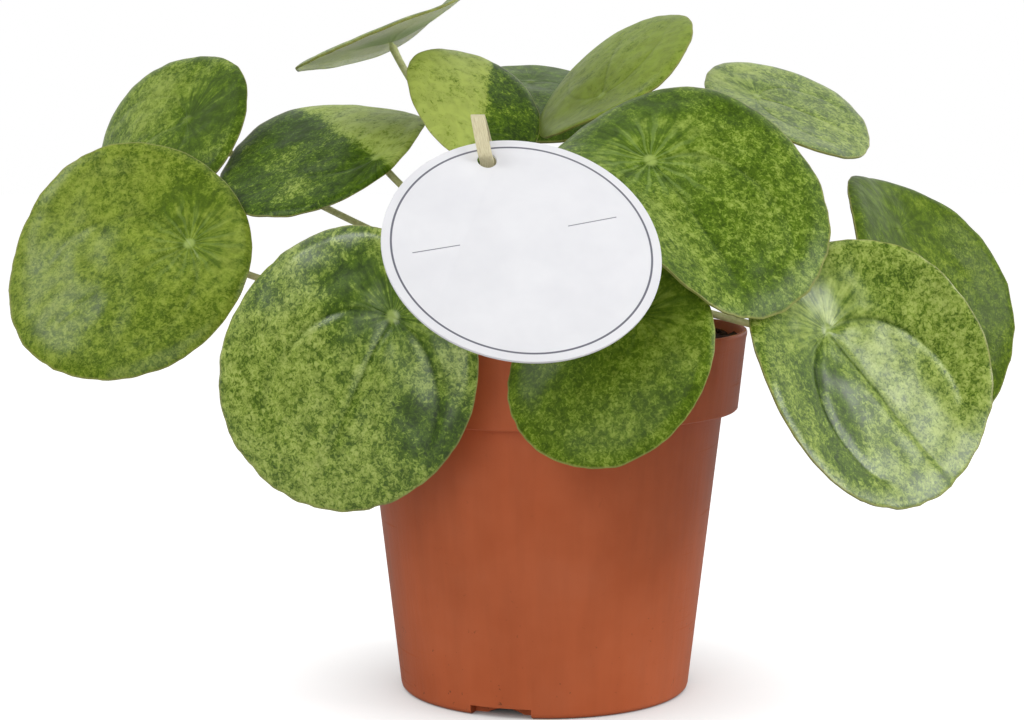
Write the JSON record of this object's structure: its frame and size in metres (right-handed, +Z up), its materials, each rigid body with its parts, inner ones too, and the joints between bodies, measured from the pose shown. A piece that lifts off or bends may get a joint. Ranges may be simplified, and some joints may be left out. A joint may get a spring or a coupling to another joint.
{
  "type": "potted pilea plant",
  "caption": "Potted pilea: round variegated shield-like leaves on long stalks round a short stem, in a tapering plastic nursery pot, with a blank round card tag hung on a flat tie",
  "frame": {"origin": "the middle of the pot's underside, on the flat pad that it stands on", "axes": "+Z up out of the pot; -Y is the front, where the tag hangs; +X is to the right seen from the front"},
  "size_m": [0.3095, 0.2144, 0.2182],
  "materials": {
    "pot": "terracotta-coloured injection-moulded plastic, soft satin",
    "soil": "moist dark peat mix with fine crumbs",
    "stem": "brown ringed bark",
    "leaf": "waxy fleshy leaf, mottled light and dark green",
    "card": "white coated card with a thin printed ring",
    "tape": "flat natural tape with fine lengthwise fibres"
  },
  "bodies": {
    "root": {"pot": "pot", "potting_mix": "soil", "stem": "stem", "leaf_left_high": "leaf", "leaf_left_far": "leaf", "leaf_left_flat": "leaf", "leaf_front_left": "leaf", "leaf_top_left": "leaf", "leaf_crown_left": "leaf", "leaf_crown_back": "leaf", "leaf_crown_right": "leaf", "leaf_right_large": "leaf", "leaf_right_high": "leaf", "leaf_right_far": "leaf", "leaf_right_low": "leaf", "leaf_front_low": "leaf", "leaf_back_right": "leaf", "leaf_back": "leaf", "leaf_back_left": "leaf", "leaf_young_front": "leaf", "leaf_young_back": "leaf", "hang_tag": "card", "tag_tie": "tape"}
  },
  "joints": []
}
